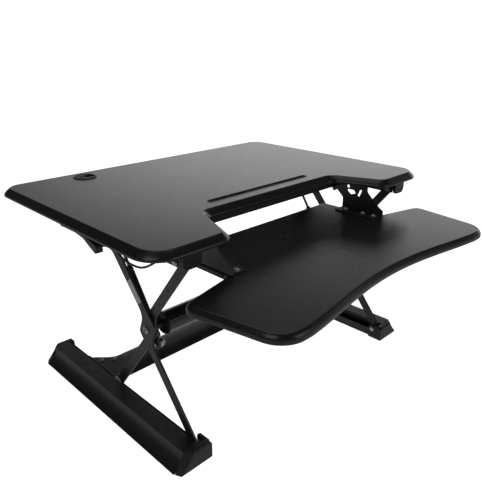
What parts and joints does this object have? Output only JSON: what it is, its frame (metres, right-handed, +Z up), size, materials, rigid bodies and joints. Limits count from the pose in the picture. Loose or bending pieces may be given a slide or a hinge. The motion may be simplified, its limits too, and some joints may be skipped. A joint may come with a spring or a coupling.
{
  "type": "standing desk converter",
  "caption": "Desktop riser with a cut-out worktop and keyboard tray on a scissor lift with gas springs, squeeze handles and two long feet.",
  "frame": {"origin": "on the floor under the middle of the raised converter", "axes": "+X to the user's right along the desktop's long side, +Y away from the user, +Z up"},
  "size_m": [0.89, 0.849, 0.4843],
  "materials": {
    "desktop_board": "black satin laminate over board",
    "tray_board": "black satin laminate over board",
    "black_steel": "black powder coat",
    "satin_tube": "black satin paint",
    "zinc": "bright zinc",
    "chrome": "polished",
    "black_plastic": "fine moulded grain",
    "nylon": "natural nylon",
    "cable_sheath": "smooth sheath"
  },
  "bodies": {
    "base": {"foot_left": "black_steel", "foot_right": "black_steel", "foot_front_cap_left": "black_plastic", "foot_front_cap_right": "black_plastic", "foot_rear_cap_left": "black_plastic", "foot_rear_cap_right": "black_plastic", "crossbar": "black_steel", "crossbar_bracket_left": "black_steel", "crossbar_bracket_right": "black_steel", "lower_pivot_pin_left": "zinc", "lower_pivot_pin_right": "zinc"},
    "outer_arms": {"outer_arm_left": "black_steel", "outer_arm_right": "black_steel", "outer_arm_tie_rod": "black_steel", "main_pivot_bolt_left": "zinc", "main_pivot_bolt_right": "zinc"},
    "inner_arms": {"inner_arm_left": "black_steel", "inner_arm_right": "black_steel", "torque_tube": "satin_tube", "tube_end_left": "black_steel", "tube_end_right": "black_steel", "spring_bolt_left": "zinc", "spring_bolt_right": "zinc"},
    "desktop": {"desktop": "desktop_board", "grommet_ring": "black_plastic", "keyboard_tray": "tray_board", "tray_crossbeam": "black_steel", "rail_left": "black_steel", "rail_right": "black_steel", "rail_end_cap_left": "black_plastic", "rail_end_cap_right": "black_plastic", "track_liner_left": "nylon", "track_liner_right": "nylon", "upper_pivot_pin_left": "zinc", "upper_pivot_pin_right": "zinc", "tray_bracket_left": "black_steel", "tray_bracket_right": "black_steel", "handle_bracket_left": "black_steel", "handle_bracket_right": "black_steel", "cable_stop_left": "black_plastic", "cable_stop_right": "black_plastic", "release_cable_left": "cable_sheath", "release_cable_right": "cable_sheath", "lock_guide_left": "black_plastic", "lock_guide_right": "black_plastic"},
    "grommet_cap": {"grommet_cap": "black_plastic"},
    "roller_upper_left": {"roller_upper_left": "nylon"},
    "roller_lower_left": {"roller_lower_left": "nylon"},
    "gas_cylinder_left": {"gas_cylinder_left": "satin_tube", "cylinder_eye_left": "zinc"},
    "gas_rod_left": {"gas_rod_left": "chrome"},
    "handle_left": {"handle_left": "black_plastic"},
    "lock_slide_left": {"lock_slide_left": "zinc"},
    "roller_upper_right": {"roller_upper_right": "nylon"},
    "roller_lower_right": {"roller_lower_right": "nylon"},
    "gas_cylinder_right": {"gas_cylinder_right": "satin_tube", "cylinder_eye_right": "zinc"},
    "gas_rod_right": {"gas_rod_right": "chrome"},
    "handle_right": {"handle_right": "black_plastic"},
    "lock_slide_right": {"lock_slide_right": "zinc"}
  },
  "joints": [
    {"name": "lift_fold", "type": "hinge", "parent": "base", "child": "outer_arms", "pos_m": [0, -0.1705, 0.028], "axis": [1, 0, 0], "range_deg": [-45.06, 0]},
    {"name": "main_pivot", "type": "hinge", "parent": "outer_arms", "child": "inner_arms", "pos_m": [0, -0.0225, 0.2365], "axis": [1, 0, 0], "range_deg": [0, 90.14]},
    {"name": "desktop_pivot", "type": "hinge", "parent": "inner_arms", "child": "desktop", "pos_m": [0, -0.1705, 0.445], "axis": [1, 0, 0], "range_deg": [-45.07, 0]},
    {"name": "grommet_cap_turn", "type": "hinge", "parent": "desktop", "child": "grommet_cap", "pos_m": [-0.246, 0.3615, 0.482], "axis": [0, 0, 1], "continuous": true},
    {"name": "roller_upper_left_turn", "type": "hinge", "parent": "outer_arms", "child": "roller_upper_left", "pos_m": [-0.3355, 0.1255, 0.445], "axis": [1, 0, 0], "continuous": true},
    {"name": "roller_lower_left_turn", "type": "hinge", "parent": "inner_arms", "child": "roller_lower_left", "pos_m": [-0.34225, 0.1255, 0.028], "axis": [1, 0, 0], "continuous": true},
    {"name": "gas_spring_left_pivot", "type": "hinge", "parent": "inner_arms", "child": "gas_cylinder_left", "pos_m": [-0.313, -0.0235, 0.193], "axis": [1, 0, 0], "range_deg": [-86.44, 0]},
    {"name": "gas_rod_left_slide", "type": "slide", "parent": "gas_cylinder_left", "child": "gas_rod_left", "axis": [0, 0.5592, 0.829], "range_m": [-0.05983, 0]},
    {"name": "handle_left_squeeze", "type": "hinge", "parent": "desktop", "child": "handle_left", "pos_m": [-0.4235, 0.125, 0.4565], "axis": [1, 0, 0], "range_deg": [-6, 0], "stiffness_Nm_per_rad": 2, "springref_deg": 4.58},
    {"name": "lock_slide_left_draw", "type": "slide", "parent": "desktop", "child": "lock_slide_left", "axis": [0, -1, 0], "range_m": [0, 0.006]},
    {"name": "roller_upper_right_turn", "type": "hinge", "parent": "outer_arms", "child": "roller_upper_right", "pos_m": [0.3355, 0.1255, 0.445], "axis": [1, 0, 0], "continuous": true},
    {"name": "roller_lower_right_turn", "type": "hinge", "parent": "inner_arms", "child": "roller_lower_right", "pos_m": [0.34225, 0.1255, 0.028], "axis": [1, 0, 0], "continuous": true},
    {"name": "gas_spring_right_pivot", "type": "hinge", "parent": "inner_arms", "child": "gas_cylinder_right", "pos_m": [0.313, -0.0235, 0.193], "axis": [1, 0, 0], "range_deg": [-86.44, 0]},
    {"name": "gas_rod_right_slide", "type": "slide", "parent": "gas_cylinder_right", "child": "gas_rod_right", "axis": [0, 0.5592, 0.829], "range_m": [-0.05983, 0]},
    {"name": "handle_right_squeeze", "type": "hinge", "parent": "desktop", "child": "handle_right", "pos_m": [0.4235, 0.125, 0.4565], "axis": [1, 0, 0], "range_deg": [-6, 0], "stiffness_Nm_per_rad": 2, "springref_deg": 4.58},
    {"name": "lock_slide_right_draw", "type": "slide", "parent": "desktop", "child": "lock_slide_right", "axis": [0, -1, 0], "range_m": [0, 0.006]}
  ],
  "couplings": [
    {"joint": "main_pivot", "follows": "lift_fold", "ratio": -2},
    {"joint": "desktop_pivot", "follows": "lift_fold", "ratio": 1},
    {"joint": "gas_spring_left_pivot", "follows": "lift_fold", "ratio": 1.9177},
    {"joint": "gas_rod_left_slide", "follows": "lift_fold", "m_per_rad": 0.076002},
    {"joint": "lock_slide_left_draw", "follows": "handle_left_squeeze", "m_per_rad": -0.0572},
    {"joint": "gas_spring_right_pivot", "follows": "lift_fold", "ratio": 1.9177},
    {"joint": "gas_rod_right_slide", "follows": "lift_fold", "m_per_rad": 0.076002},
    {"joint": "lock_slide_right_draw", "follows": "handle_right_squeeze", "m_per_rad": -0.0572}
  ]
}
